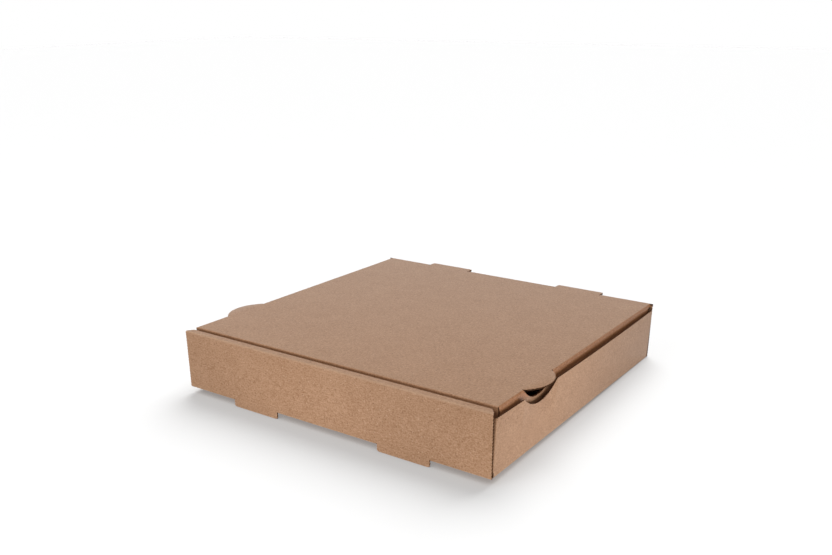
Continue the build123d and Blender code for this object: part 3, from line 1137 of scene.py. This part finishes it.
class PIZZABOX_OT_stage(bpy.types.Operator):
    """Set up the floor, the light and the camera"""

    bl_idname = "pizza_box.stage"
    bl_label = "Stage"

    def execute(self, context):
        stage = context.scene.pizza_stage
        at = box_places(context.scene)
        floor = self.make_floor(context.scene, stage, at)
        self.make_sky(context.scene, stage)
        self.make_floor_lamp(context.scene, stage, floor)
        self.make_front_lamp(context.scene, stage)
        self.make_camera(context.scene, stage)
        context.scene.view_settings.view_transform = "Standard"
        return {"FINISHED"}

    @staticmethod
    def make_floor(scene, stage, at):
        """A plain floor that touches the feet in front and the fold of the floor panel behind."""
        run = at.back_fold[0] - at.bend - at.front_fold[0]
        tilt = math.atan2(at.floor_z, run)
        half = stage.floor_size / 2
        mesh = bpy.data.meshes.new("floor")
        corners = [(-half, -half, 0), (half, -half, 0), (half, half, 0), (-half, half, 0)]
        mesh.from_pydata(corners, [], [(0, 1, 2, 3)])
        floor = put(scene, "floor", mesh)
        floor.location = (0, at.front_fold[0], 0)
        floor.rotation_euler = (tilt, 0, 0)
        material = bpy.data.materials.new("floor_white")
        material.use_nodes = True
        tree = material.node_tree
        tree.nodes.clear()
        make = NodeMaker(tree)
        place = make.add("ShaderNodeNewGeometry").outputs["Position"]
        front = make.spot(place, *FRONT_GLOW, stage.front_glow)
        right = make.spot(place, *RIGHT_GLOW, stage.right_glow)
        around = make.spot(place, (0, 0, 0), stage.glow_reach, stage.glow, start=0.3)
        strength = make.sum(make.sum(front, right), around)
        glow = make.add("ShaderNodeEmission", {"Strength": strength})
        # Painted shadow: ambient occlusion darkens both the lit and the even parts of the floor's look
        # near the box.
        inputs = {"Distance": stage.contact}
        freedom = make.add("ShaderNodeAmbientOcclusion", inputs, samples=8).outputs["AO"]
        left = stage.contact_left
        shade = make.span(freedom, 0.0, CONTACT_END, left * stage.floor_shade, stage.floor_shade)
        shaded = make.add("ShaderNodeBsdfDiffuse", {"Color": shade})
        even = make.span(freedom, 0.0, CONTACT_END, left * stage.floor_fill, stage.floor_fill)
        fill = make.add("ShaderNodeEmission", {"Strength": even})
        look = make.add("ShaderNodeAddShader", {0: shaded.outputs[0], 1: fill.outputs[0]})
        shown = make.add("ShaderNodeMixShader", {0: seen(make), 1: glow.outputs[0], 2: look.outputs[0]})
        make.add("ShaderNodeOutputMaterial", {"Surface": shown.outputs[0]})
        mesh.materials.append(material)
        return floor

    @staticmethod
    def make_sky(scene, stage):
        """A soft sky, brightest overhead, that is white to the camera."""
        world = bpy.data.worlds.new("studio")
        world.use_nodes = True
        tree = world.node_tree
        tree.nodes.clear()
        make = NodeMaker(tree)
        way = make.add("ShaderNodeTexCoord").outputs["Generated"]
        height = make.add("ShaderNodeSeparateXYZ", {0: way}).outputs["Z"]
        strength = make.span(height, *SKY_EDGE, stage.sky_low, stage.sky_high)
        sky = make.add("ShaderNodeBackground", {"Color": (1, 1, 1, 1), "Strength": strength})
        backdrop = make.add("ShaderNodeBackground", {"Color": (1, 1, 1, 1), "Strength": 1.0})
        shown = make.add("ShaderNodeMixShader", {0: seen(make), 1: sky.outputs[0], 2: backdrop.outputs[0]})
        make.add("ShaderNodeOutputWorld", {"Surface": shown.outputs[0]})
        scene.world = world

    @staticmethod
    def make_floor_lamp(scene, stage, floor):
        """A wide lamp behind, which lights the floor alone and draws the shadow in front."""
        lamp = bpy.data.lights.new("floor_lamp", "SUN")
        lamp.angle = stage.lamp_spread
        lamp.energy = stage.lamp_strength
        behind = put(scene, "floor_lamp", lamp)
        behind.rotation_euler = (stage.lamp_height - math.pi / 2, 0, stage.lamp_turn)
        lit = bpy.data.collections.new("lit_by_floor_lamp")
        lit.objects.link(floor)
        behind.light_linking.receiver_collection = lit

    @staticmethod
    def make_front_lamp(scene, stage):
        """A soft lamp above the camera's left, which draws out the fold of the front wall."""
        lamp = bpy.data.lights.new("front_lamp", "AREA")
        lamp.shape = "DISK"
        lamp.size = FRONT_LAMP_SIZE
        lamp.energy = stage.front_lamp
        front = put(scene, "front_lamp", lamp)
        front.location = FRONT_LAMP_PLACE
        way = FRONT_LAMP_AIM - FRONT_LAMP_PLACE
        front.rotation_euler = way.to_track_quat("-Z", "Y").to_euler()

    @staticmethod
    def make_camera(scene, stage):
        """The photograph's camera."""
        lens = bpy.data.cameras.new("camera")
        lens.lens = stage.lens
        lens.sensor_width = 36.0
        lens.sensor_fit = "HORIZONTAL"
        camera = put(scene, "camera", lens)
        ahead = Vector(
            (
                -math.sin(stage.azimuth) * math.cos(stage.elevation),
                math.cos(stage.azimuth) * math.cos(stage.elevation),
                -math.sin(stage.elevation),
            )
        )
        turn = ahead.to_track_quat("-Z", "Y").to_matrix() @ Matrix.Rotation(stage.roll, 3, "Z")
        camera.matrix_world = Matrix.Translation(stage.camera_place) @ turn.to_4x4()
        scene.camera = camera


def seen(make):
    """1 for rays from the camera, from gloss and through glass, and 0 for the light itself."""
    path = make.add("ShaderNodeLightPath")
    gloss = make.sum(path.outputs["Is Glossy Ray"], path.outputs["Is Transmission Ray"])
    return make.span(make.sum(path.outputs["Is Camera Ray"], gloss), 0.0, 1.0)


STEPS = (
    PIZZABOX_OT_tray_strip,
    PIZZABOX_OT_side_walls,
    PIZZABOX_OT_lid_top,
    PIZZABOX_OT_lid_side_flaps,
    PIZZABOX_OT_thumb_tabs,
    PIZZABOX_OT_lid_fold,
    PIZZABOX_OT_stage,
)


class PIZZABOX_PT_sidebar(bpy.types.Panel):
    """Sizes and steps of the pizza box"""

    bl_idname = "PIZZABOX_PT_sidebar"
    bl_label = "Pizza Box"
    bl_space_type = "VIEW_3D"
    bl_region_type = "UI"
    bl_category = "Pizza Box"

    def draw(self, context):
        for name, group in GROUPS.items():
            settings = getattr(context.scene, name)
            column = self.layout.column(heading=group.__doc__)
            for setting in group.__annotations__:
                column.prop(settings, setting)
        for step in STEPS:
            self.layout.operator(step.bl_idname)


CLASSES = (*GROUPS.values(), *STEPS, PIZZABOX_PT_sidebar)


def register():
    for each in CLASSES:
        bpy.utils.register_class(each)
    for name, group in GROUPS.items():
        setattr(bpy.types.Scene, name, PointerProperty(type=group))


def unregister():
    for name in GROUPS:
        delattr(bpy.types.Scene, name)
    for each in reversed(CLASSES):
        bpy.utils.unregister_class(each)


def main():
    """Builds every piece and the stage, and notes the sizes of frame and finished box."""
    register()
    bpy.ops.pizza_box.tray_strip()
    bpy.ops.pizza_box.side_walls()
    bpy.ops.pizza_box.lid_top()
    bpy.ops.pizza_box.lid_side_flaps()
    bpy.ops.pizza_box.thumb_tabs()
    bpy.ops.pizza_box.lid_fold()
    bpy.ops.pizza_box.stage()
    bpy.context.view_layer.update()


if __name__ == "__main__":
    main()
